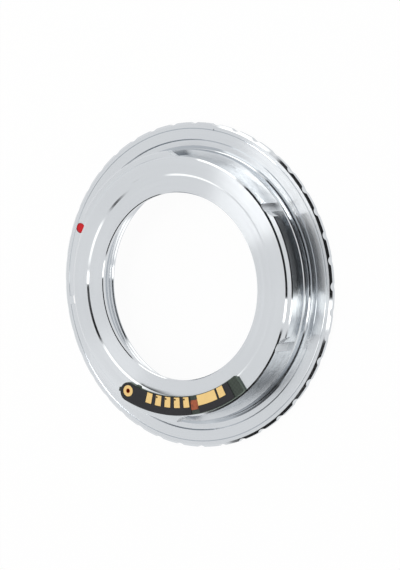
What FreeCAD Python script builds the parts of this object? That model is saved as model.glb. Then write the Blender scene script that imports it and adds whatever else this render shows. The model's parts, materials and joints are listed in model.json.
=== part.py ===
import FreeCAD, Part
import math
import os

# Adapter ring that puts a screw-thread lens on a bayonet camera, in millimetres and degrees.
# The ring lies on its lens side. The origin is the centre of the lens seat, Z is the optical axis,
# and the bayonet with its contact chip faces up. Angles run anticlockwise from +X, seen from above.

# Register that centres the ring in the camera throat
THROAT_RADIUS = 27.0
THROAT_CLEARANCE = 0.05
REGISTER_HEIGHT = 1.69
REGISTER_LEAD_IN = 0.2
REGISTER_TAPER = 0.08

# Flange: its thickness is the difference between the registers of the two mounts, 45.46 and 44.00.
# From the register outwards: an undercut, a relief, the camera seat, a fine groove and the rim band.
FLANGE_THICKNESS = 1.46
UNDERCUT_WIDTH = 0.72
UNDERCUT_DEPTH = 0.22
RELIEF_WIDTH = 1.28
RELIEF_DEPTH = 0.1
RELIEF_RAMP = 0.25
SEAT_WIDTH = 2.0
SEAT_GROOVE_WIDTH = 0.2
RIM_BAND_WIDTH = 1.1
RIM_BAND_DROP = 0.05
RIM_TOP_CHAMFER = 0.45
RIM_FOOT_CHAMFER = 0.25

# Grip flutes round the rim, left by a round cutter
FLUTE_COUNT = 40
FLUTE_CUTTER_RADIUS = 1.5
FLUTE_DEPTH = 0.3
FLUTE_PHASE = 3.5

# Bayonet: a tube with three lugs, and a turned groove between the lugs and the register
BAYONET_GROOVE = 2.3
LUG_REACH = 1.15
LUG_THICKNESS = 1.75
LUG_CHAMFER = 0.2
LUG_CENTRES = (-0.35, 115.9, 234.9)
LUG_SPAN = 52.6
LUG_CUTTER_RADIUS = 4.0
LUG_CUTTER_BITE = 0.15

# Front of the tube: an outer ring that carries the chip, and an inner ring a step lower
FACE_CHAMFER = 0.3
OUTER_RING_WIDTH = 3.15
STEP_WIDTH = 0.4
STEP_DROP = 0.2

# Bore: the lens thread, its runout groove, and the lip round the light opening
THREAD_RADIUS = 21.0
THREAD_LEAD_IN = 0.7
RUNOUT_DEPTH = 0.25
RUNOUT_WIDTH = 0.8
LIGHT_RADIUS = 18.6
LIP_THICKNESS = 0.9
LIP_CHAMFER = 0.15

# Marks for the camera: the hole for its lock pin, and the red index dot
LOCK_ANGLE = 180.85
LOCK_WIDTH = 1.8
LOCK_PAST_SEAT = 0.35
LOCK_LENGTH = 3.3
LOCK_CORNER = 0.4
DOT_ANGLE = 153.0
DOT_INSIDE_SEAT = 0.9
DOT_RADIUS = 1.03
DOT_PIT_DEPTH = 0.35
DOT_SINK = 0.1

# Contact chip: a curved board on the outer ring, flush with the front's edge at its middle.
# Its arc is flatter than the ring, about a centre of its own, and its angles are counted from -Y.
CHIP_ARC_SHIFT_X = -0.6
CHIP_ARC_SHIFT_Y = 2.8
CHIP_WIDTH = 3.74
BOARD_THICKNESS = 0.64
COVER_THICKNESS = 0.16
CHIP_CAP_ANGLE = -31.4
BOARD_END_ANGLE = 30.1
BOARD_CORNER = 0.35
COVER_END_ANGLE = 24.9
COVER_SETBACK = 0.12
WINDOW_START = 2.3
WINDOW_END = 6.45

# Stubs where the board was snapped off its panel: one on the rounded end, one on the inner edge
STUB_REACH = 0.35
CAP_STUB_WIDTH = 0.8
CAP_STUB_TURN = 160.0
EDGE_STUB_WIDTH = 0.7
EDGE_STUB_ANGLE = -27.4

# Contacts on the chip
PAD_THICKNESS = 0.13
PAD_SETBACK = 0.14
PAD_MOAT = 0.08
PAD_LENGTH = 2.06
PAD_SPAN = 3.0
PAD_PITCH = 5.0
PAD_COUNT = 5
FIRST_PAD_ANGLE = 0.18
PLAIN_PADS = 1
PROBE_HOLE_RADIUS = 0.13
PROBE_HOLE_DOWN = 0.43
PROBE_HOLE_IN = 0.22
WIDE_PAD_ANGLES = (6.35, 16.7)
NARROW_PAD_ANGLES = (17.85, 21.4)
PATCH_MARGIN = 0.25
PATCH_SETBACK = 0.92
PATCH_LENGTH = 1.9
EYELET_RADIUS = 1.12
EYELET_BARREL_RADIUS = 0.55
EYELET_HOLE_RADIUS = 0.4
EYELET_SHIFT = -0.2

# Gap round whatever lies in a hole or a notch, and the spare length of cutting solids
INLAY_CLEARANCE = 0.02
CUT_MARGIN = 1.0

# Sizes that follow
register_radius = THROAT_RADIUS - THROAT_CLEARANCE
undercut_radius = register_radius + UNDERCUT_WIDTH
seat_inner_radius = undercut_radius + RELIEF_WIDTH
seat_outer_radius = seat_inner_radius + SEAT_WIDTH
rim_radius = seat_outer_radius + SEAT_GROOVE_WIDTH + RIM_BAND_WIDTH
lock_outer_radius = seat_outer_radius + LOCK_PAST_SEAT
dot_place_radius = seat_outer_radius - DOT_INSIDE_SEAT
tube_radius = register_radius - LUG_REACH
face_radius = tube_radius - FACE_CHAMFER
register_top = FLANGE_THICKNESS + REGISTER_HEIGHT
lug_bottom = register_top + BAYONET_GROOVE
lug_top = lug_bottom + LUG_THICKNESS
face_height = lug_top + FACE_CHAMFER
inner_ring_height = face_height - STEP_DROP
lip_bottom = inner_ring_height - LIP_THICKNESS
board_top = face_height + BOARD_THICKNESS
chip_top = board_top + COVER_THICKNESS
chip_outer_radius = face_radius + CHIP_ARC_SHIFT_Y
chip_inner_radius = chip_outer_radius - CHIP_WIDTH
chip_middle_radius = chip_outer_radius - CHIP_WIDTH / 2
pad_inner_radius = chip_inner_radius + PAD_SETBACK


def polar(radius, angle, height=0.0, centre=(0.0, 0.0)):
    """Point at a radius and an angle in degrees about a centre in the XY plane."""
    turn = math.radians(angle)
    return FreeCAD.Vector(centre[0] + radius * math.cos(turn), centre[1] + radius * math.sin(turn), height)


def turned(section, sweep=360.0, start=0.0):
    """Solid turned about Z from a closed section of (radius, height) points."""
    points = [FreeCAD.Vector(radius, 0, height) for radius, height in section]
    face = Part.Face(Part.makePolygon(points + [points[0]]))
    face.rotate(FreeCAD.Vector(0, 0, 0), FreeCAD.Vector(0, 0, 1), start)
    return face.revolve(FreeCAD.Vector(0, 0, 0), FreeCAD.Vector(0, 0, 1), sweep)


def round_bar(radius, centre, bottom, top):
    """Upright round bar between two heights."""
    return Part.makeCylinder(radius, top - bottom, FreeCAD.Vector(centre.x, centre.y, bottom))


def arc_plate(inner, outer, start, end, bottom, top, centre=(0.0, 0.0)):
    """Plate between two radii and two angles about a centre, with square ends."""
    middle = (start + end) / 2
    outer_arc = Part.Arc(polar(outer, start, bottom, centre), polar(outer, middle, bottom, centre),
                         polar(outer, end, bottom, centre)).toShape()
    inner_arc = Part.Arc(polar(inner, end, bottom, centre), polar(inner, middle, bottom, centre),
                         polar(inner, start, bottom, centre)).toShape()
    end_side = Part.makeLine(polar(outer, end, bottom, centre), polar(inner, end, bottom, centre))
    start_side = Part.makeLine(polar(inner, start, bottom, centre), polar(outer, start, bottom, centre))
    outline = Part.Wire([outer_arc, end_side, inner_arc, start_side])
    return Part.Face(outline).extrude(FreeCAD.Vector(0, 0, top - bottom))


def flange_section():
    """Rim, camera seat and relief, from the lens seat round to the foot of the register."""
    rim_top = FLANGE_THICKNESS - RIM_BAND_DROP
    relief = FLANGE_THICKNESS - RELIEF_DEPTH
    return [
        (THREAD_RADIUS + THREAD_LEAD_IN, 0),
        (rim_radius - RIM_FOOT_CHAMFER, 0),
        (rim_radius, RIM_FOOT_CHAMFER),
        (rim_radius, rim_top - RIM_TOP_CHAMFER),
        (rim_radius - RIM_TOP_CHAMFER, rim_top),
        (seat_outer_radius + SEAT_GROOVE_WIDTH, rim_top),
        (seat_outer_radius + SEAT_GROOVE_WIDTH / 2, rim_top - SEAT_GROOVE_WIDTH / 2),
        (seat_outer_radius, FLANGE_THICKNESS),
        (seat_inner_radius, FLANGE_THICKNESS),
        (seat_inner_radius - RELIEF_RAMP, relief),
        (undercut_radius, relief),
        (register_radius + UNDERCUT_DEPTH, relief - UNDERCUT_DEPTH),
        (register_radius, relief),
    ]


def tube_section():
    """Register, groove wall and stepped front, from the register up to the light opening."""
    outer_ring_inner = face_radius - OUTER_RING_WIDTH
    return [
        (register_radius, register_top - REGISTER_LEAD_IN),
        (register_radius - REGISTER_TAPER, register_top),
        (tube_radius, register_top),
        (tube_radius, lug_top),
        (face_radius, face_height),
        (outer_ring_inner, face_height),
        (outer_ring_inner - STEP_WIDTH, inner_ring_height),
        (LIGHT_RADIUS + LIP_CHAMFER, inner_ring_height),
        (LIGHT_RADIUS, inner_ring_height - LIP_CHAMFER),
    ]


def bore_section():
    """Light opening, thread runout groove and thread bore, from the lip down to the lens seat."""
    runout_radius = THREAD_RADIUS + RUNOUT_DEPTH
    runout_bottom = lip_bottom - RUNOUT_WIDTH
    return [
        (LIGHT_RADIUS, lip_bottom),
        (runout_radius, lip_bottom),
        (runout_radius, runout_bottom),
        (THREAD_RADIUS, runout_bottom - RUNOUT_DEPTH),
        (THREAD_RADIUS, THREAD_LEAD_IN),
    ]


def lug(centre_angle, root_radius, spare):
    """One bayonet lug as turned, longer at each end by the spare angle that milling takes off."""
    section = [
        (root_radius, lug_bottom),
        (register_radius, lug_bottom),
        (register_radius, lug_top - LUG_CHAMFER),
        (register_radius - LUG_CHAMFER, lug_top),
        (root_radius, lug_top),
    ]
    return turned(section, LUG_SPAN + 2 * spare, centre_angle - LUG_SPAN / 2 - spare)


def lug_cutter_place():
    """Radius of the cutter's centre, and its angle past the corner that it leaves on a lug."""
    place = tube_radius - LUG_CUTTER_BITE + LUG_CUTTER_RADIUS
    cosine = (place**2 + register_radius**2 - LUG_CUTTER_RADIUS**2) / (2 * place * register_radius)
    return place, math.degrees(math.acos(cosine))


def bayonet_lugs():
    """The three lugs, rooted inside the tube wall."""
    root_radius = (THREAD_RADIUS + RUNOUT_DEPTH + tube_radius) / 2
    spare = lug_cutter_place()[1]
    return [lug(centre, root_radius, spare) for centre in LUG_CENTRES]


def lug_end_cuts():
    """Round cuts that end each lug in a hollow curve and nick the tube beside it."""
    place, past_corner = lug_cutter_place()
    reach = LUG_SPAN / 2 + past_corner
    cuts = []
    for centre in LUG_CENTRES:
        for side in (-1, 1):
            middle = polar(place, centre + side * reach)
            cuts.append(round_bar(LUG_CUTTER_RADIUS, middle, register_top, face_height + CUT_MARGIN))
    return cuts


def rim_flutes():
    """Round bars that cut the grip flutes along the whole height of the rim."""
    place = rim_radius - FLUTE_DEPTH + FLUTE_CUTTER_RADIUS
    pitch = 360.0 / FLUTE_COUNT
    flutes = []
    for index in range(FLUTE_COUNT):
        middle = polar(place, FLUTE_PHASE + index * pitch)
        flutes.append(round_bar(FLUTE_CUTTER_RADIUS, middle, -CUT_MARGIN, FLANGE_THICKNESS + CUT_MARGIN))
    return flutes


def upright_edges(shape):
    """Edges of a shape that stand along Z."""
    return [edge for edge in shape.Edges if edge.BoundBox.ZLength > edge.Length / 2]


def lock_hole():
    """Radial slot with round corners, right through the flange, for the camera's lock pin."""
    corner = FreeCAD.Vector(lock_outer_radius - LOCK_LENGTH, -LOCK_WIDTH / 2, -CUT_MARGIN)
    slot = Part.makeBox(LOCK_LENGTH, LOCK_WIDTH, FLANGE_THICKNESS + 2 * CUT_MARGIN, corner)
    slot = slot.makeFillet(LOCK_CORNER, upright_edges(slot))
    slot.rotate(FreeCAD.Vector(0, 0, 0), FreeCAD.Vector(0, 0, 1), LOCK_ANGLE)
    return slot


def index_pit():
    """Round pit in the flange that the red index dot fills."""
    place = polar(dot_place_radius, DOT_ANGLE)
    return round_bar(DOT_RADIUS, place, FLANGE_THICKNESS - DOT_PIT_DEPTH, FLANGE_THICKNESS + CUT_MARGIN)


def adapter_ring():
    """The ring: turned in one piece, with milled lugs, fluted rim, lock hole and index pit."""
    ring = turned(flange_section() + tube_section() + bore_section())
    ring = ring.fuse(bayonet_lugs())
    ring = ring.cut(lug_end_cuts() + rim_flutes() + [lock_hole(), index_pit()])
    return ring.removeSplitter()


def index_dot():
    """Enamel in the index pit, a little below the flange."""
    place = polar(dot_place_radius, DOT_ANGLE)
    floor = FLANGE_THICKNESS - DOT_PIT_DEPTH
    return round_bar(DOT_RADIUS - INLAY_CLEARANCE, place, floor, FLANGE_THICKNESS - DOT_SINK)


def chip_plate(inner, outer, start, end, bottom, top):
    """Curved plate on the chip's own arc, between two angles counted from -Y."""
    centre = (CHIP_ARC_SHIFT_X, CHIP_ARC_SHIFT_Y)
    return arc_plate(inner, outer, start - 90, end - 90, bottom, top, centre)


def chip_point(radius, angle):
    """Point on the chip, by radius and angle on the chip's own arc."""
    return polar(radius, angle - 90, 0, (CHIP_ARC_SHIFT_X, CHIP_ARC_SHIFT_Y))


def capped_plate(end, setback, bottom, top):
    """Chip outline from its rounded left end to an end angle, drawn in by a setback."""
    inner = chip_inner_radius + setback
    outer = chip_outer_radius - setback
    cap_middle = chip_point(chip_middle_radius, CHIP_CAP_ANGLE)
    cap = round_bar(CHIP_WIDTH / 2 - setback, cap_middle, bottom, top)
    return chip_plate(inner, outer, CHIP_CAP_ANGLE, end, bottom, top).fuse(cap).removeSplitter()


def eyelet_centre():
    """Middle of the plated eyelet, near the chip's rounded end."""
    return chip_point(chip_middle_radius + EYELET_SHIFT, CHIP_CAP_ANGLE)


def pad_angles():
    """Start and end angles of the small pads, from the middle of the chip towards its rounded end."""
    middles = [FIRST_PAD_ANGLE - index * PAD_PITCH for index in range(PAD_COUNT)]
    return [(middle - PAD_SPAN / 2, middle + PAD_SPAN / 2) for middle in middles]


def pad(angles):
    """Contact pad that lies on the board."""
    outer = pad_inner_radius + PAD_LENGTH
    return chip_plate(pad_inner_radius, outer, angles[0], angles[1], board_top, board_top + PAD_THICKNESS)


def pad_window(angles):
    """Notch in the cover's inner edge round a pad, with a moat of bare board round the pad."""
    spare = math.degrees(PAD_MOAT / pad_inner_radius)
    outer = pad_inner_radius + PAD_LENGTH + PAD_MOAT
    return chip_plate(chip_inner_radius, outer, angles[0] - spare, angles[1] + spare,
                      board_top - CUT_MARGIN, chip_top + CUT_MARGIN)


def small_pad(index):
    """Small contact pad, with a probe hole near one corner on all but the last of them."""
    angles = pad_angles()[index]
    shape = pad(angles)
    if index < PAD_COUNT - PLAIN_PADS:
        hole_angle = angles[0] + math.degrees(PROBE_HOLE_IN / pad_inner_radius)
        middle = chip_point(pad_inner_radius + PROBE_HOLE_DOWN, hole_angle)
        shape = shape.cut(round_bar(PROBE_HOLE_RADIUS, middle, board_top - CUT_MARGIN, chip_top + CUT_MARGIN))
    return shape


def stub(middle, turn, root, reach, width):
    """Small bar at board height that runs out from a root distance to a reach, in one direction."""
    bar = Part.makeBox(reach - root, width, BOARD_THICKNESS, FreeCAD.Vector(root, -width / 2, face_height))
    bar.rotate(FreeCAD.Vector(0, 0, 0), FreeCAD.Vector(0, 0, 1), turn)
    bar.translate(middle)
    return bar


def board_stubs():
    """The two stubs, rooted inside the board."""
    cap_radius = CHIP_WIDTH / 2
    cap = chip_point(chip_middle_radius, CHIP_CAP_ANGLE)
    edge = chip_point(chip_middle_radius, EDGE_STUB_ANGLE)
    inwards = EDGE_STUB_ANGLE + 90
    return [
        stub(cap, CAP_STUB_TURN, cap_radius / 2, cap_radius + STUB_REACH, CAP_STUB_WIDTH),
        stub(edge, inwards, cap_radius / 2, cap_radius + STUB_REACH, EDGE_STUB_WIDTH),
    ]


def chip_board():
    """Bare board with its rounded end, round corners and stubs, drilled for the eyelet."""
    board = capped_plate(BOARD_END_ANGLE, 0.0, face_height, board_top)
    square_end = chip_point(chip_middle_radius, BOARD_END_ANGLE)
    square_end.z = (face_height + board_top) / 2
    corners = [edge for edge in upright_edges(board)
               if edge.CenterOfMass.sub(square_end).Length < CHIP_WIDTH]
    board = board.makeFillet(BOARD_CORNER, corners).fuse(board_stubs())
    hole = round_bar(EYELET_BARREL_RADIUS + INLAY_CLEARANCE, eyelet_centre(),
                     face_height - CUT_MARGIN, board_top + CUT_MARGIN)
    return board.cut(hole).removeSplitter()


def chip_cover_left():
    """Black cover over the rounded end and the small pads."""
    cover = capped_plate(WINDOW_START, COVER_SETBACK, board_top, chip_top)
    windows = [pad_window(angles) for angles in pad_angles()]
    windows.append(round_bar(EYELET_RADIUS + PAD_MOAT, eyelet_centre(),
                             board_top - CUT_MARGIN, chip_top + CUT_MARGIN))
    return cover.cut(windows)


def chip_cover_right():
    """Black cover round the wide and the narrow pad."""
    cover = chip_plate(chip_inner_radius + COVER_SETBACK, chip_outer_radius - COVER_SETBACK,
                       WINDOW_END, COVER_END_ANGLE, board_top, chip_top)
    return cover.cut([pad_window(WIDE_PAD_ANGLES), pad_window(NARROW_PAD_ANGLES)])


def copper_patch():
    """Bare copper patch in the strip between the two covers."""
    inner = chip_inner_radius + PATCH_SETBACK
    return chip_plate(inner, inner + PATCH_LENGTH, WINDOW_START + PATCH_MARGIN, WINDOW_END - PATCH_MARGIN,
                      board_top, board_top + PAD_THICKNESS)


def eyelet():
    """Plated eyelet: a flange on the board and a barrel down through it."""
    middle = eyelet_centre()
    flange = round_bar(EYELET_RADIUS, middle, board_top, board_top + PAD_THICKNESS)
    barrel = round_bar(EYELET_BARREL_RADIUS, middle, face_height, board_top)
    hole = round_bar(EYELET_HOLE_RADIUS, middle, face_height - CUT_MARGIN, chip_top + CUT_MARGIN)
    return flange.fuse(barrel).cut(hole).removeSplitter()


def build():
    """All pieces by name."""
    pieces = {
        "adapter_ring": adapter_ring(),
        "index_dot": index_dot(),
        "chip_board": chip_board(),
        "chip_cover_left": chip_cover_left(),
        "chip_cover_right": chip_cover_right(),
        "wide_contact_pad": pad(WIDE_PAD_ANGLES),
        "narrow_contact_pad": pad(NARROW_PAD_ANGLES),
        "copper_patch": copper_patch(),
        "eyelet": eyelet(),
    }
    for index in range(PAD_COUNT):
        pieces[f"contact_pad_{index + 1}"] = small_pad(index)
    return pieces


os.makedirs("parts", exist_ok=True)
for name, shape in build().items():
    shape.exportStep(f"parts/{name}.step")
    print(name, "valid" if shape.isValid() else "INVALID", len(shape.Solids), round(shape.Volume, 3))
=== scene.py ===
"""Dresses the packed lens mount adapter: plating, screw thread, contact chip and studio."""

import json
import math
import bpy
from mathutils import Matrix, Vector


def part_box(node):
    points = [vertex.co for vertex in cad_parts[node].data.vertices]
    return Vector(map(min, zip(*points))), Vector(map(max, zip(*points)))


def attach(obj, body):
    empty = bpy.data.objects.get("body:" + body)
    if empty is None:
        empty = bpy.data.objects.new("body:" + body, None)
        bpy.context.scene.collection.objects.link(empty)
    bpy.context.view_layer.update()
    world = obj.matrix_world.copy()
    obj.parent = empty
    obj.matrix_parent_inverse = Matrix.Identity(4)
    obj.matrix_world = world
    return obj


bl_info = {
    "name": "Lens Mount Adapter Looks",
    "version": (1, 0, 0),
    "blender": (4, 5, 0),
    "location": "3D View > Sidebar > Adapter",
    "description": "Gives the lens mount adapter its finishes, its screw thread and a studio",
    "category": "Object",
}

import bmesh
import bpy
from bpy.props import FloatProperty, FloatVectorProperty, IntProperty, PointerProperty
from mathutils import Matrix, Vector

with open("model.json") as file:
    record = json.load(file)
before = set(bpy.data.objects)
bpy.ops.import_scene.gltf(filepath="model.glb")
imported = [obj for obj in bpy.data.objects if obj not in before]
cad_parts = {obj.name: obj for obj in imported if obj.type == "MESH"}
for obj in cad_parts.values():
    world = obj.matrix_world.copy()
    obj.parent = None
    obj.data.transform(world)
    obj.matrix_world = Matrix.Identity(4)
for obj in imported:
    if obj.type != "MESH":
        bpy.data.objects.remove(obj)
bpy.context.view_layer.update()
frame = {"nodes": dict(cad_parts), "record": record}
MOUNTS = {mount["name"]: mount for mount in frame["record"]["mounts"]}
MM = 0.001

# The ring in millimetres: radii of the tube and of the lugs' ends, heights between seat and front
TUBE_RADII = (25.775, 25.815)
LUG_END_RADII = (25.6, 26.88)
SEAT_TO_FRONT = (2.0, 3.0)

# Marks of use in millimetres: a nick in the flange, and a scratch on the front far from the chip
NICK = (7.93, 30.18)
NICK_SIZE = 0.17
SCRATCH = ((-8.6, 21.4), (-7.0, 21.9))
SCRATCH_WIDTH = 0.07

# The chip in millimetres: middle of its arc and radius of its inner edge, then the radii of the
# dark copper spots in the eyelet and on the ring under it, both partly painted shade, and of the
# painted shade at the probe holes
CHIP_ARC_MIDDLE = (-0.6, 2.8)
CHIP_INNER_EDGE = 24.56
COPPER_AND_SHADE_IN_EYELET = 0.56
SHADE_UNDER_EYELET = 0.6
SHADE_AT_PROBE_HOLE = 0.23

# The edge of a probe hole has more points than this, all less than this far apart in millimetres
PROBE_HOLE_POINTS = 12
PROBE_HOLE_WIDTH = 0.28

# Degrees from the chip's middle over which the painted reflection of the chip's edge starts and
# fades
REFLECTION_START = (-29, -26)
REFLECTION_END = (-22, -6)

# The thread: how far its foot sinks into the wall in metres, where its section lies as a share of
# its depth, how many turns it takes to run out, and the share of it that is left at the ends
THREAD_SINK = 0.02 * MM
SECTION_SHIFT = -0.48
RUN_OUT_TURNS = 1 / 3
RUN_OUT_SHARE = 0.04


def bore_radius():
    """Radius of the thread bore that the packed part states."""
    return MOUNTS["lens_thread"]["dims"]["r_mm"] * MM


# Settings


def colour_setting(name, description, default):
    """A colour that a user can change."""
    return FloatVectorProperty(
        name=name, description=description, subtype="COLOR", size=3, min=0, max=1, default=default
    )


def length_setting(name, description, default):
    """A length in metres that a user can change."""
    return FloatProperty(
        name=name, description=description, unit="LENGTH", min=0, precision=6, default=default
    )


def share_setting(name, description, default):
    """A share from 0 to 1 that a user can change."""
    return FloatProperty(
        name=name, description=description, subtype="FACTOR", min=0, max=1, default=default
    )


class PlatingSettings(bpy.types.PropertyGroup):
    """Finish of the plated ring."""

    colour: colour_setting("Plating", "Colour of the bright plating", (0.68, 0.706, 0.735))
    roughness: share_setting("Roughness", "Spread of reflections on the turned faces", 0.17)
    edge_roughness: share_setting("Edge roughness", "Spread on walls and chamfers", 0.11)
    streaks: share_setting("Streaks", "How far the turning marks stretch reflections", 1.0)
    mark_pitch: length_setting("Mark pitch", "Distance between turning marks", 0.35 * MM)
    mark_depth: length_setting("Mark depth", "Depth of the turning marks", 0.004 * MM)
    mill_depth: length_setting("Milling depth", "Depth of the cutter marks on the tube", 0.05 * MM)


class ThreadSettings(bpy.types.PropertyGroup):
    """Sizes of the screw thread in the bore."""

    bore: length_setting("Bore", "Radius of the wall the thread stands on", bore_radius())
    pitch: length_setting("Pitch", "Distance between neighbouring crests", 1.0 * MM)
    depth: length_setting("Depth", "Height of a crest above the wall", 0.54 * MM)
    root_width: length_setting("Root width", "Width of the ridge at the wall", 0.875 * MM)
    crest_width: length_setting("Crest width", "Width of the ridge at its crest", 0.25 * MM)
    bottom: length_setting("Bottom", "Height at which the thread starts", 0.45 * MM)
    turns: FloatProperty(name="Turns", description="Number of turns", min=1, default=4.6)
    points: IntProperty(name="Points", description="Points in each turn", min=24, default=128)


class EnamelSettings(bpy.types.PropertyGroup):
    """Finish of the index dot."""

    colour: colour_setting("Enamel", "Colour of the index dot", (0.56, 0.008, 0.014))


class ChipSettings(bpy.types.PropertyGroup):
    """Finishes of the contact chip."""

    board: colour_setting("Board", "Colour of the bare board", (0.024, 0.032, 0.026))
    board_edge: colour_setting("Board edge", "Colour of the board's cut edge", (0.16, 0.2, 0.17))
    cover: colour_setting("Cover", "Colour of the black cover", (0.014, 0.014, 0.017))
    gold: colour_setting("Gold", "Colour of the contact pads", (0.84, 0.6, 0.26))
    copper: colour_setting("Copper", "Colour of the bare patch", (0.36, 0.086, 0.032))


class StudioSettings(bpy.types.PropertyGroup):
    """Floor, light tent and key lamp."""

    floor: colour_setting("Floor", "Colour of the floor", (0.9, 0.9, 0.9))
    glow: share_setting("Floor glow", "How much of the floor's white is its own", 0.95)
    tent: FloatProperty(name="Tent", description="Level of the light tent", min=0, default=0.95)
    key: FloatProperty(
        name="Key lamp", description="Power of the key lamp", unit="POWER", min=0, default=0.06
    )


class CameraSettings(bpy.types.PropertyGroup):
    """Place and lens of the camera."""

    tilt: FloatProperty(
        name="Tilt",
        description="Angle between the ring's axis and the view",
        subtype="ANGLE",
        default=math.radians(35.07),
    )
    roll: FloatProperty(
        name="Roll", description="Turn about the view", subtype="ANGLE", default=math.radians(5.78)
    )
    distance: length_setting("Distance", "Distance from the ring", 1.5)
    aim: length_setting("Aim", "Height of the point looked at", 3.5 * MM)
    side: length_setting("Side", "Shift of the camera to its right", 1.921 * MM)
    rise: length_setting("Rise", "Shift of the camera upwards", 0.07 * MM)
    lens: FloatProperty(
        name="Lens", description="Focal length on a 36 mm frame", unit="CAMERA", default=478.4
    )


# Shader maths


class Wire:
    """An output socket that can stand in a sum."""

    def __init__(self, sheet, socket):
        self.sheet = sheet
        self.socket = socket

    def using(self, operation, *terms):
        """A Math node on this value and the terms."""
        values = dict(enumerate((self, *terms)))
        return self.sheet.add("ShaderNodeMath", {"operation": operation}, values)

    def __add__(self, other):
        return self.using("ADD", other)

    def __sub__(self, other):
        return self.using("SUBTRACT", other)

    def __mul__(self, other):
        return self.using("MULTIPLY", other)

    def __neg__(self):
        return self.using("MULTIPLY", -1.0)

    def __radd__(self, other):
        return self.using("ADD", other)

    def __rsub__(self, other):
        return (-self).using("ADD", other)

    def absolute(self):
        return self.using("ABSOLUTE")

    def root(self):
        return self.using("SQRT")

    def largest(self, other):
        return self.using("MAXIMUM", other)

    def rising(self, start, end):
        """0 below start, 1 above end, with a soft step between."""
        settings = {"interpolation_type": "SMOOTHSTEP"}
        return self.sheet.add("ShaderNodeMapRange", settings, {0: self, 1: start, 2: end})

    def within(self, low, high, soft):
        """1 between low and high, with soft edges."""
        return self.rising(low - soft, low + soft) * (1 - self.rising(high - soft, high + soft))


class Sheet:
    """A shader node tree that is filled by short calls."""

    def __init__(self, tree):
        self.tree = tree
        tree.nodes.clear()

    def add(self, kind, settings=None, values=None, output=0):
        """Adds a node, makes its settings, then fills its sockets with values or wires."""
        node = self.tree.nodes.new(kind)
        for name, value in (settings or {}).items():
            setattr(node, name, value)
        for name, value in (values or {}).items():
            if isinstance(value, Wire):
                self.tree.links.new(value.socket, node.inputs[name])
            else:
                node.inputs[name].default_value = value
        return Wire(self, node.outputs[output]) if len(node.outputs) else node

    def parts(self, vector):
        """The three numbers of a vector."""
        node = self.tree.nodes.new("ShaderNodeSeparateXYZ")
        self.tree.links.new(vector.socket, node.inputs[0])
        return [Wire(self, node.outputs[i]) for i in range(3)]

    def joined(self, x, y, z):
        """A vector of three numbers or wires."""
        return self.add("ShaderNodeCombineXYZ", None, {0: x, 1: y, 2: z})

    def mixed(self, share, first, second):
        """A colour between two colours."""
        first = first if isinstance(first, Wire) else (*first, 1)
        second = second if isinstance(second, Wire) else (*second, 1)
        return self.add(
            "ShaderNodeMix", {"data_type": "RGBA"}, {0: share, 6: first, 7: second}, output=2
        )

    def noise(self, place, scale, detail=2.0):
        """Noise between 0 and 1 at a place given in millimetres."""
        values = {"Vector": place, "Scale": scale, "Detail": detail}
        return self.add("ShaderNodeTexNoise", {"noise_dimensions": "3D"}, values)

    def millimetres(self):
        """The surface point in the piece's own space, in millimetres."""
        place = self.add("ShaderNodeTexCoord", output=3)
        return self.add(
            "ShaderNodeMapping", {"vector_type": "POINT"}, {"Vector": place, "Scale": (1000,) * 3}
        )

    def bumped(self, height, depth, normal=None):
        """The surface direction with a relief of this depth in metres."""
        values = {"Strength": 1.0, "Distance": depth, "Height": height}
        if normal:
            values["Normal"] = normal
        return self.add("ShaderNodeBump", None, values)


def new_material(name):
    """A material with an empty tree, and its sheet."""
    material = bpy.data.materials.new(name)
    material.use_nodes = True
    return material, Sheet(material.node_tree)


def close(sheet, shader):
    """Sends a shader to the surface of a material."""
    sheet.add("ShaderNodeOutputMaterial", None, {"Surface": shader})


def coat(sheet, values):
    """Sends a Principled shader with these inputs to the surface of a material."""
    close(sheet, sheet.add("ShaderNodeBsdfPrincipled", None, values))


def toned(colour, share):
    """A colour with its level changed by a share."""
    return tuple(share * part for part in colour)


def distance(x, y, middle):
    """Distance of the surface point from a place seen from above, in millimetres."""
    aside, ahead = x - middle[0], y - middle[1]
    return (aside * aside + ahead * ahead).root()


def dress(names, material):
    """Gives nodes of the frame a new material in place of their packed one."""
    for name in names:
        node = frame["nodes"][name]
        for place in node.material_slots:
            place.material = material


def nodes_in_slot(slot):
    """Names of the frame's nodes that take their finish from a slot."""
    parts = frame["record"]["subparts"]
    return [part["node"] for part in parts if part["material_slot"] == slot]


def small_pads():
    """Names of the five small contact pads."""
    return [name for name in nodes_in_slot("gold_contact") if name.startswith("contact_pad")]


def middle_of(name):
    """Middle of a node seen from above, in millimetres."""
    low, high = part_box(name)
    return [(a + b) / 2 / MM for a, b in zip(low[:2], high[:2])]


# Finishes


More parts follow.
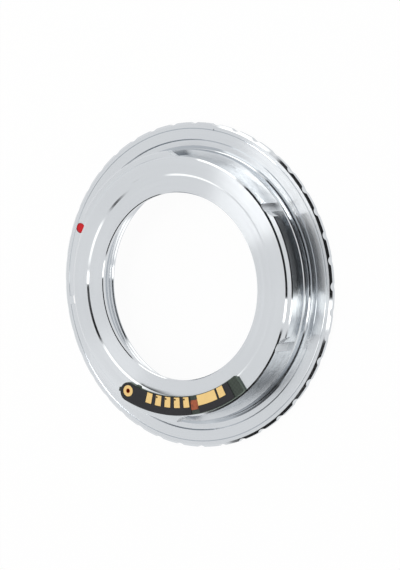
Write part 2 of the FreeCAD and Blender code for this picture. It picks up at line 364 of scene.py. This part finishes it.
def plating_material(settings):
    """Bright plating over turned metal, with cutter marks on the tube, a few marks of use, a
    painted reflection of the chip's edge and painted shade in a copper-brown tone under the
    eyelet.
    """
    material, sheet = new_material("turned_plating")
    place = sheet.millimetres()
    x, y, z = sheet.parts(place)
    radius = (x * x + y * y).root()
    angle = y.using("ARCTAN2", x)
    lines = sheet.joined(radius, z, angle * 0.4)
    pitch = MM / settings.mark_pitch
    fine = sheet.noise(lines, 2.6 * pitch, 3.0)
    broad = sheet.noise(lines, 0.45 * pitch, 2.0)
    smudge = sheet.noise(place, 0.12, 2.0)
    facing = sheet.parts(sheet.add("ShaderNodeNewGeometry", output=1))[2].absolute()
    upright = 1 - facing.rising(0.1, 0.3)
    on_tube = radius.within(*TUBE_RADII, 0.01) * upright
    at_lug_end = radius.within(*LUG_END_RADII, 0.02) * upright * (1 - on_tube)
    mill = sheet.noise(sheet.joined(z * 2.0, angle * 10.0, radius), 1.6, 4.0) * on_tube
    nick = spot(x, y, NICK, NICK_SIZE)
    # Painted shade: the ring seen through the eyelet's hole is painted dark copper-brown
    painted_shade_under_eyelet = spot(x, y, middle_of("eyelet"), SHADE_UNDER_EYELET)
    scratch = stroke(x, y, *SCRATCH, SCRATCH_WIDTH)
    colour = sheet.mixed(broad, toned(settings.colour, 0.93), settings.colour)
    colour = sheet.mixed(nick * 0.7, colour, (0.07, 0.07, 0.07))
    colour = sheet.mixed(scratch * 0.25, colour, (0.3, 0.3, 0.31))
    colour = sheet.mixed(painted_shade_under_eyelet, colour, (0.2, 0.045, 0.012))
    colour = sheet.mixed(mill.rising(0.45, 0.75) * 0.45, colour, (0.3, 0.31, 0.32))
    flat = facing.rising(0.96, 0.99)
    # Painted reflection: the chip's edge is painted as a dark band on the ring beside the chip's
    # inner edge
    chip_edge_reflection = painted_chip_edge_reflection(x, y, smudge) * flat
    colour = sheet.mixed(chip_edge_reflection * 0.9, colour, (0.04, 0.045, 0.045))
    turned = flat * (settings.roughness - settings.edge_roughness)
    on_seat = flat * (1 - z.rising(*SEAT_TO_FRONT))
    finer = on_seat * 0.015 + facing.within(0.25, 0.95, 0.05) * 0.04
    roughness = turned + settings.edge_roughness - finer + (broad - 0.5) * 0.05 * flat
    roughness = roughness + (smudge - 0.5) * 0.03 + at_lug_end * 0.2
    normal = sheet.bumped(fine, settings.mark_depth)
    values = {
        "Base Color": colour,
        "Metallic": 1.0,
        "Roughness": roughness,
        "Anisotropic": settings.streaks,
        "Anisotropic Rotation": 0.25,
        "Normal": sheet.bumped(mill, settings.mill_depth, normal),
    }
    coat(sheet, values)
    return material


def spot(x, y, middle, size):
    """1 inside a small round spot, in millimetres."""
    return 1 - distance(x, y, middle).rising(size * 0.7, size)


def stroke(x, y, start, end, width):
    """1 along a short straight line, in millimetres."""
    run = Vector(end) - Vector(start)
    length = run.length
    run.normalize()
    along = (x - start[0]) * run.x + (y - start[1]) * run.y
    across = (y - start[1]) * run.x - (x - start[0]) * run.y
    inside = along.within(0, length, 0.1)
    return inside * (1 - across.absolute().rising(width * 0.5, width))


def painted_chip_edge_reflection(x, y, patches):
    """1 where the chip's edge is painted as a dark reflection on the ring, along the inner edge of
    the chip's left half.
    """
    reach = distance(x, y, CHIP_ARC_MIDDLE)
    turn = (x - CHIP_ARC_MIDDLE[0]).using("ARCTAN2", CHIP_ARC_MIDDLE[1] - y)
    along = turn.rising(*map(math.radians, REFLECTION_START))
    along = along * (1 - turn.rising(*map(math.radians, REFLECTION_END)))
    across = reach.rising(patches * 0.2 + CHIP_INNER_EDGE - 1.1, CHIP_INNER_EDGE - 0.4)
    return along * across * (1 - reach.rising(CHIP_INNER_EDGE + 0.5, CHIP_INNER_EDGE + 0.6))


def probe_holes():
    """Middles of the pads' probe holes, in millimetres, from the rings of points round them."""
    middles = []
    for name in small_pads():
        vertices = frame["nodes"][name].data.vertices
        points = {(round(v.co.x / MM, 3), round(v.co.y / MM, 3)) for v in vertices}
        rings = [
            [near for near in points if math.dist(point, near) < PROBE_HOLE_WIDTH]
            for point in points
        ]
        ring = max(rings, key=len)
        if len(ring) > PROBE_HOLE_POINTS:
            middles.append([sum(numbers) / len(ring) for numbers in zip(*ring)])
    return middles


def enamel_material(settings):
    """Glossy red enamel, with painted shade where it meets the wall of its pit."""
    material, sheet = new_material("index_enamel")
    place = sheet.millimetres()
    x, y = sheet.parts(place)[:2]
    low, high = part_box("index_dot")
    half = (high[0] - low[0]) / 2 / MM
    # Painted shade: rim darkens the enamel towards the wall of its pit; it also shapes the bump
    rim = distance(x, y, middle_of("index_dot")).rising(half * 0.72, half)
    grain = sheet.noise(place, 1.6, 2.0)
    values = {
        "Base Color": sheet.mixed(rim * 0.5, settings.colour, toned(settings.colour, 0.35)),
        "Roughness": 0.3 + grain * 0.12,
        "Specular IOR Level": 0.2,
        "Coat Weight": 0.05 + grain * 0.08,
        "Normal": sheet.bumped(grain + rim * 0.6, 0.05 * MM),
    }
    coat(sheet, values)
    return material


def board_material(settings):
    """Dark glass-fibre board: a faint weave on its faces, a paler cut edge, and painted shade
    across the row of pads.
    """
    material, sheet = new_material("fibre_board")
    place = sheet.millimetres()
    x, y, z = sheet.parts(place)
    up = sheet.parts(sheet.add("ShaderNodeNewGeometry", output=1))[2].absolute()
    warp = (x * 7.0).using("SINE") * 0.5 + 0.5
    weft = (y * 7.0).using("SINE") * 0.5 + 0.5
    weave = warp * (1 - weft) + weft * (1 - warp)
    cloud = sheet.noise(place, 0.9, 3.0)
    face = sheet.mixed(cloud, settings.board, toned(settings.board, 1.7))
    face = sheet.mixed(weave * 0.12, face, settings.board_edge)
    pads = [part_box(name) for name in small_pads()]
    first = min(low[0] for low, high in pads) / MM
    last = max(high[0] for low, high in pads) / MM
    # Painted shade: the board is painted near black across the row of pads, so the gaps round the
    # pads read as shadowed
    face = sheet.mixed(x.within(first, last, 0.02), face, (0.004, 0.004, 0.004))
    layers = (z * 40.0).using("SINE") * 0.5 + 0.5
    edge = sheet.mixed(layers * 0.4, settings.board_edge, settings.board)
    values = {
        "Base Color": sheet.mixed(up.rising(0.3, 0.7), edge, face),
        "Roughness": 0.45 + cloud * 0.15,
        "Specular IOR Level": 0.25,
        "Normal": sheet.bumped(weave, 0.01 * MM),
    }
    coat(sheet, values)
    return material


def cover_material(settings):
    """Satin black film with a fine grain and dust in its tone."""
    material, sheet = new_material("black_film")
    place = sheet.millimetres()
    grain = sheet.noise(place, 6.0, 3.0)
    cloud = sheet.noise(place, 0.35, 2.0)
    values = {
        "Base Color": sheet.mixed(cloud, settings.cover, toned(settings.cover, 1.5)),
        "Roughness": 0.38 + grain * 0.14,
        "Specular IOR Level": 0.25,
        "Normal": sheet.bumped(grain, 0.006 * MM),
    }
    coat(sheet, values)
    return material


def gold_material(settings):
    """Satin gold plating with fine rub marks along the contacts, a copper eyelet barrel darkened
    in part as painted shade, and painted shade at the probe holes.
    """
    material, sheet = new_material("contact_gold")
    place = sheet.millimetres()
    x, y, z = sheet.parts(place)
    rubs = sheet.noise(sheet.joined(x * 0.6, y * 5.0, z), 1.4, 3.0)
    cloud = sheet.noise(place, 0.8, 2.0)
    worn = toned(settings.gold, 0.86)
    colour = sheet.mixed(rubs * 0.6 + cloud * 0.4, worn, settings.gold)
    # Copper tone in the eyelet's barrel, darkened in part as painted shade of its hole
    barrel_copper_and_shade = spot(x, y, middle_of("eyelet"), COPPER_AND_SHADE_IN_EYELET)
    colour = sheet.mixed(barrel_copper_and_shade, colour, (0.55, 0.13, 0.03))
    # Painted shade: the gold is painted near black in and round each probe hole
    for middle in probe_holes():
        colour = sheet.mixed(spot(x, y, middle, SHADE_AT_PROBE_HOLE), colour, (0.02, 0.014, 0.008))
    values = {
        "Base Color": colour,
        "Metallic": 1.0,
        "Roughness": 0.34 + rubs * 0.16,
        "Normal": sheet.bumped(rubs, 0.005 * MM),
    }
    coat(sheet, values)
    return material


def copper_material(settings):
    """Dull copper, tarnished in patches."""
    material, sheet = new_material("tarnished_copper")
    place = sheet.millimetres()
    tarnish = sheet.noise(place, 1.3, 3.0).rising(0.4, 0.7)
    values = {
        "Base Color": sheet.mixed(tarnish, settings.copper, toned(settings.copper, 0.4)),
        "Metallic": 0.35 - tarnish * 0.2,
        "Roughness": 0.42 + tarnish * 0.2,
        "Normal": sheet.bumped(tarnish, 0.01 * MM),
    }
    coat(sheet, values)
    return material


# Screw thread


# Named inputs of the thread's geometry tree, with their kinds
THREAD_INPUTS = {
    "Bore": "NodeSocketFloat",
    "Pitch": "NodeSocketFloat",
    "Depth": "NodeSocketFloat",
    "Root Width": "NodeSocketFloat",
    "Crest Width": "NodeSocketFloat",
    "Bottom": "NodeSocketFloat",
    "Turns": "NodeSocketFloat",
    "Points": "NodeSocketInt",
    "Material": "NodeSocketMaterial",
}


def geometry_node(tree, kind, settings=None, values=None):
    """Adds a geometry node, makes its settings, then fills its sockets."""
    node = tree.nodes.new(kind)
    for name, value in (settings or {}).items():
        setattr(node, name, value)
    for name, value in (values or {}).items():
        if isinstance(value, bpy.types.NodeSocket):
            tree.links.new(value, node.inputs[name])
        else:
            node.inputs[name].default_value = value
    return node


def geometry_sum(tree, operation, first, second):
    """The outcome of one Math node in a geometry tree."""
    node = geometry_node(tree, "ShaderNodeMath", {"operation": operation}, {0: first, 1: second})
    return node.outputs[0]


def thread_tree():
    """A right-handed ridge that climbs the inside of a bore and runs out at both ends."""
    tree = bpy.data.node_groups.new("thread_ridge_path", "GeometryNodeTree")
    tree.interface.new_socket("Geometry", in_out="OUTPUT", socket_type="NodeSocketGeometry")
    for name, kind in THREAD_INPUTS.items():
        tree.interface.new_socket(name, in_out="INPUT", socket_type=kind)
    given = tree.nodes.new("NodeGroupInput").outputs
    rise = geometry_sum(tree, "MULTIPLY", given["Pitch"], given["Turns"])
    path = geometry_node(
        tree,
        "GeometryNodeCurveSpiral",
        None,
        {
            "Resolution": given["Points"],
            "Rotations": given["Turns"],
            "Start Radius": given["Bore"],
            "End Radius": given["Bore"],
            "Height": rise,
            "Reverse": True,
        },
    )
    lift = geometry_node(tree, "ShaderNodeCombineXYZ", None, {"Z": given["Bottom"]})
    placed = geometry_node(
        tree,
        "GeometryNodeTransform",
        None,
        {"Geometry": path.outputs[0], "Translation": lift.outputs[0]},
    )
    upright = geometry_node(
        tree, "GeometryNodeSetCurveNormal", {"mode": "Z_UP"}, {"Curve": placed.outputs[0]}
    )
    along = geometry_node(tree, "GeometryNodeSplineParameter").outputs["Factor"]
    left = geometry_sum(tree, "SUBTRACT", 1.0, along)
    nearest = geometry_sum(tree, "MINIMUM", along, left)
    fade = geometry_sum(tree, "MULTIPLY", nearest, given["Turns"])
    fade = geometry_sum(tree, "MULTIPLY", fade, 1 / RUN_OUT_TURNS)
    fade = geometry_sum(tree, "MINIMUM", fade, 1.0)
    fade = geometry_sum(tree, "MAXIMUM", fade, RUN_OUT_SHARE)
    tapered = geometry_node(
        tree, "GeometryNodeSetCurveRadius", None, {"Curve": upright.outputs[0], "Radius": fade}
    )
    section = geometry_node(
        tree,
        "GeometryNodeCurvePrimitiveQuadrilateral",
        {"mode": "TRAPEZOID"},
        {
            "Height": given["Depth"],
            "Bottom Width": given["Root Width"],
            "Top Width": given["Crest Width"],
            "Offset": 0.0,
        },
    )
    inwards = geometry_sum(tree, "MULTIPLY", given["Depth"], SECTION_SHIFT)
    shift = geometry_node(tree, "ShaderNodeCombineXYZ", None, {"X": inwards})
    turned = geometry_node(
        tree,
        "GeometryNodeTransform",
        None,
        {
            "Geometry": section.outputs[0],
            "Rotation": (0.0, 0.0, math.pi / 2),
            "Translation": shift.outputs[0],
        },
    )
    ridge = geometry_node(
        tree,
        "GeometryNodeCurveToMesh",
        None,
        {"Curve": tapered.outputs[0], "Profile Curve": turned.outputs[0], "Fill Caps": True},
    )
    real = geometry_node(
        tree, "GeometryNodeRealizeInstances", None, {"Geometry": ridge.outputs[0]}
    )
    finished = geometry_node(
        tree,
        "GeometryNodeSetMaterial",
        None,
        {"Geometry": real.outputs[0], "Material": given["Material"]},
    )
    end = tree.nodes.new("NodeGroupOutput")
    tree.links.new(finished.outputs[0], end.inputs[0])
    return tree


def grown_mesh(name, tree, inputs):
    """The plain mesh that a geometry tree grows with these inputs."""
    carrier = bpy.data.objects.new(name, bpy.data.meshes.new(name))
    bpy.context.scene.collection.objects.link(carrier)
    grower = carrier.modifiers.new("grow", "NODES")
    grower.node_group = tree
    sockets = {item.name: item.identifier for item in tree.interface.items_tree}
    for label, value in inputs.items():
        grower[sockets[label]] = value
    graph = bpy.context.evaluated_depsgraph_get()
    mesh = bpy.data.meshes.new_from_object(carrier.evaluated_get(graph))
    carrier.modifiers.remove(grower)
    carrier.data = mesh
    mesh.name = name
    return carrier


def tidy_shell(piece, sharp_angle):
    """Merges doubled points, turns the faces outwards and keeps edges past an angle crisp."""
    shell = bmesh.new()
    shell.from_mesh(piece.data)
    bmesh.ops.remove_doubles(shell, verts=shell.verts, dist=0.000001)
    bmesh.ops.recalc_face_normals(shell, faces=shell.faces)
    if shell.calc_volume(signed=True) < 0:
        bmesh.ops.reverse_faces(shell, faces=shell.faces)
    shell.to_mesh(piece.data)
    shell.free()
    piece.data.shade_smooth()
    piece.data.set_sharp_from_angle(angle=sharp_angle)


# Studio


# Panels of the light tent: name, first and last direction in degrees from the chip's left, lowest
# and highest elevation, softness of the edges in degrees, level
TENT_PANELS = (
    ("dark gap", -17, 72, 20, 44, 2, 0.02),
    ("dark sky", -17, 60, 44, 76, 2, 0.02),
    ("bright sky", 64, 118, 46, 66, 3, 1.7),
    ("bright panel", -34, -18, 3, 80, 2, 2.6),
    ("soft panel", -84, -42, 40, 70, 4, 1.7),
    ("dim panel", -124, -96, 48, 68, 3, 0.1),
    ("side panel", 80, 107, 3, 30, 2, 2.0),
    ("back panel", 140, 228, 14, 34, 3, 1.6),
    ("dark corner", -84, -41, 18, 38, 3, 0.02),
    ("low dark corner", -118, -79, 3, 27, 2, 0.02),
    ("low panel", -74, -40, 3, 15, 2, 2.0),
)

# The floor in metres: half its side, and how far it is below the ring
FLOOR_HALF = 4.0
FLOOR_DROP = 0.00002

# The key lamp: direction and elevation in degrees, distance and sides in metres, turn in degrees
KEY_DIRECTION = 127.1
KEY_ELEVATION = 68.5
KEY_DISTANCE = 0.21
KEY_SIDES = (0.045, 0.066)
KEY_TURN = -6.3
KEY_COLOUR = (1.0, 0.985, 0.96)

# Width of the camera's frame in millimetres, and the nearest and furthest it sees in metres
CAMERA_FRAME = 36
CAMERA_REACH = (0.1, 20)


def light_tent(settings):
    """A soft light tent with dark gaps and bright panels, fixed in the room."""
    world = bpy.data.worlds.new("light_tent")
    world.use_nodes = True
    sheet = Sheet(world.node_tree)
    x, y, z = sheet.parts(sheet.add("ShaderNodeTexCoord", output=0))
    rise = z.using("ARCSINE")
    level = settings.tent
    for name, first, last, low, high, soft, strength in TENT_PANELS:
        middle, half = math.radians((first + last) / 2), math.radians((last - first) / 2)
        ahead = x * math.cos(middle) + y * math.sin(middle)
        aside = y * math.cos(middle) - x * math.sin(middle)
        turn = aside.using("ARCTAN2", ahead).absolute()
        blur = math.radians(soft)
        across = 1 - turn.rising(half - blur, half + blur)
        panel = across * rise.within(math.radians(low), math.radians(high), blur)
        panel.socket.node.label = name
        level = (1 - panel) * level + panel * strength
    warm = (level - settings.tent).largest(0.0)
    colour = sheet.joined(level, level - warm * 0.03, level - warm * 0.1)
    background = sheet.add("ShaderNodeBackground", None, {"Color": colour, "Strength": 1.0})
    sheet.add("ShaderNodeOutputWorld", None, {"Surface": background})
    bpy.context.scene.world = world


def floor_material(settings):
    """White floor that glows for the camera and still takes a faint shadow."""
    material, sheet = new_material("studio_floor")
    path = sheet.add("ShaderNodeLightPath").socket.node.outputs
    seen = Wire(sheet, path["Is Camera Ray"])
    for name in ("Is Glossy Ray", "Is Transmission Ray"):
        seen = seen.largest(Wire(sheet, path[name]))
    cloth = sheet.noise(sheet.millimetres(), 0.02, 2.0)
    white = sheet.mixed(cloth, toned(settings.floor, 0.97), settings.floor)
    matt = sheet.add("ShaderNodeBsdfDiffuse", None, {"Color": white})
    glow = sheet.add("ShaderNodeEmission", None, {"Color": (1, 1, 1, 1), "Strength": 1.0})
    mix = {0: seen * settings.glow, 1: matt, 2: glow}
    close(sheet, sheet.add("ShaderNodeMixShader", None, mix))
    return material


def lay_floor(material):
    """A wide flat floor under the ring."""
    mesh = bpy.data.meshes.new("floor")
    signs = ((-1, -1), (1, -1), (1, 1), (-1, 1))
    corners = [(a * FLOOR_HALF, b * FLOOR_HALF, -FLOOR_DROP) for a, b in signs]
    mesh.from_pydata(corners, [], [(0, 1, 2, 3)])
    mesh.materials.append(material)
    floor = bpy.data.objects.new("floor", mesh)
    bpy.context.scene.collection.objects.link(floor)


def hang_key_lamp(power):
    """An area lamp that points at the ring and lights the bright sector of its turned faces."""
    lamp = bpy.data.lights.new("key_lamp", "AREA")
    lamp.shape = "RECTANGLE"
    lamp.size, lamp.size_y = KEY_SIDES
    lamp.energy = power
    lamp.color = KEY_COLOUR
    holder = bpy.data.objects.new("key_lamp", lamp)
    bpy.context.scene.collection.objects.link(holder)
    a, e = math.radians(KEY_DIRECTION), math.radians(KEY_ELEVATION)
    back = Vector((math.cos(a) * math.cos(e), math.sin(a) * math.cos(e), math.sin(e)))
    facing = back.to_track_quat("Z", "Y").to_matrix().to_4x4()
    spin = Matrix.Rotation(math.radians(KEY_TURN), 4, "Z")
    holder.matrix_world = Matrix.Translation(back * KEY_DISTANCE) @ facing @ spin


# Operators


class ADAPTER_OT_plate_ring(bpy.types.Operator):
    """Gives the ring its bright plating over turning marks"""

    bl_idname = "adapter.plate_ring"
    bl_label = "Plate the ring"

    def execute(self, context):
        material = plating_material(context.scene.adapter_plating)
        dress(nodes_in_slot("bright_plating"), material)
        return {"FINISHED"}


class ADAPTER_OT_cut_thread(bpy.types.Operator):
    """Grows the screw thread in the bore"""

    bl_idname = "adapter.cut_thread"
    bl_label = "Cut the thread"

    def execute(self, context):
        settings = context.scene.adapter_thread
        plating = bpy.data.materials.get("turned_plating")
        if plating is None:
            raise RuntimeError("plate the ring before its thread is cut")
        inputs = {
            "Bore": settings.bore + THREAD_SINK,
            "Pitch": settings.pitch,
            "Depth": settings.depth + THREAD_SINK,
            "Root Width": settings.root_width,
            "Crest Width": settings.crest_width,
            "Bottom": settings.bottom,
            "Turns": settings.turns,
            "Points": settings.points,
            "Material": plating,
        }
        ridge = grown_mesh("thread_ridge", thread_tree(), inputs)
        tidy_shell(ridge, math.radians(30))
        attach(ridge, "root")
        return {"FINISHED"}


class ADAPTER_OT_fill_dot(bpy.types.Operator):
    """Fills the index pit with red enamel"""

    bl_idname = "adapter.fill_dot"
    bl_label = "Fill the index dot"

    def execute(self, context):
        dress(nodes_in_slot("red_enamel"), enamel_material(context.scene.adapter_enamel))
        return {"FINISHED"}


class ADAPTER_OT_finish_chip(bpy.types.Operator):
    """Gives the chip's board, cover, contacts and bare patch their finishes"""

    bl_idname = "adapter.finish_chip"
    bl_label = "Finish the contact chip"

    def execute(self, context):
        settings = context.scene.adapter_chip
        dress(nodes_in_slot("board_laminate"), board_material(settings))
        dress(nodes_in_slot("black_cover"), cover_material(settings))
        dress(nodes_in_slot("gold_contact"), gold_material(settings))
        dress(nodes_in_slot("bare_copper"), copper_material(settings))
        return {"FINISHED"}


class ADAPTER_OT_set_studio(bpy.types.Operator):
    """Lays the floor and sets the light tent and the key lamp"""

    bl_idname = "adapter.set_studio"
    bl_label = "Set the studio"

    def execute(self, context):
        settings = context.scene.adapter_studio
        lay_floor(floor_material(settings))
        light_tent(settings)
        hang_key_lamp(settings.key)
        context.scene.view_settings.view_transform = "Standard"
        return {"FINISHED"}


class ADAPTER_OT_place_camera(bpy.types.Operator):
    """Places the camera at the photograph's viewing angle"""

    bl_idname = "adapter.place_camera"
    bl_label = "Place the camera"

    def execute(self, context):
        settings = context.scene.adapter_camera
        tilt, roll = settings.tilt, settings.roll
        back = Vector((math.sin(tilt), 0, math.cos(tilt)))
        level = Vector((math.cos(tilt), 0, -math.sin(tilt)))
        across = Vector((0, 1, 0))
        right = math.cos(roll) * level - math.sin(roll) * across
        up = math.sin(roll) * level + math.cos(roll) * across
        lens = bpy.data.cameras.new("camera")
        lens.lens = settings.lens
        lens.sensor_width = CAMERA_FRAME
        lens.sensor_fit = "AUTO"
        lens.clip_start, lens.clip_end = CAMERA_REACH
        camera = bpy.data.objects.new("camera", lens)
        bpy.context.scene.collection.objects.link(camera)
        place = Vector((0, 0, settings.aim)) + back * settings.distance
        place += right * settings.side + up * settings.rise
        turn = Matrix((right, up, back)).transposed().to_4x4()
        camera.matrix_world = Matrix.Translation(place) @ turn
        context.scene.camera = camera
        return {"FINISHED"}


OPERATORS = (
    ADAPTER_OT_plate_ring,
    ADAPTER_OT_cut_thread,
    ADAPTER_OT_fill_dot,
    ADAPTER_OT_finish_chip,
    ADAPTER_OT_set_studio,
    ADAPTER_OT_place_camera,
)

SETTINGS = {
    "adapter_plating": PlatingSettings,
    "adapter_thread": ThreadSettings,
    "adapter_enamel": EnamelSettings,
    "adapter_chip": ChipSettings,
    "adapter_studio": StudioSettings,
    "adapter_camera": CameraSettings,
}


class ADAPTER_PT_looks(bpy.types.Panel):
    """Steps and settings of the lens mount adapter's looks"""

    bl_idname = "ADAPTER_PT_looks"
    bl_label = "Lens Mount Adapter"
    bl_space_type = "VIEW_3D"
    bl_region_type = "UI"
    bl_category = "Adapter"

    def draw(self, context):
        for step in OPERATORS:
            self.layout.operator(step.bl_idname)
        for name, group in SETTINGS.items():
            box = self.layout.box()
            box.label(text=group.__doc__)
            for field in group.__annotations__:
                box.prop(getattr(context.scene, name), field)


def register():
    """Registers the settings, the steps and the panel."""
    for group in SETTINGS.values():
        bpy.utils.register_class(group)
    for name, group in SETTINGS.items():
        setattr(bpy.types.Scene, name, PointerProperty(type=group))
    for step in (*OPERATORS, ADAPTER_PT_looks):
        bpy.utils.register_class(step)


def unregister():
    """Takes back what register added."""
    for step in (ADAPTER_PT_looks, *reversed(OPERATORS)):
        bpy.utils.unregister_class(step)
    for name in SETTINGS:
        delattr(bpy.types.Scene, name)
    for group in reversed(SETTINGS.values()):
        bpy.utils.unregister_class(group)


def main():
    """Runs every step in order."""
    register()
    bpy.ops.adapter.plate_ring()
    bpy.ops.adapter.cut_thread()
    bpy.ops.adapter.fill_dot()
    bpy.ops.adapter.finish_chip()
    bpy.ops.adapter.set_studio()
    bpy.ops.adapter.place_camera()


if __name__ == "__main__":
    main()
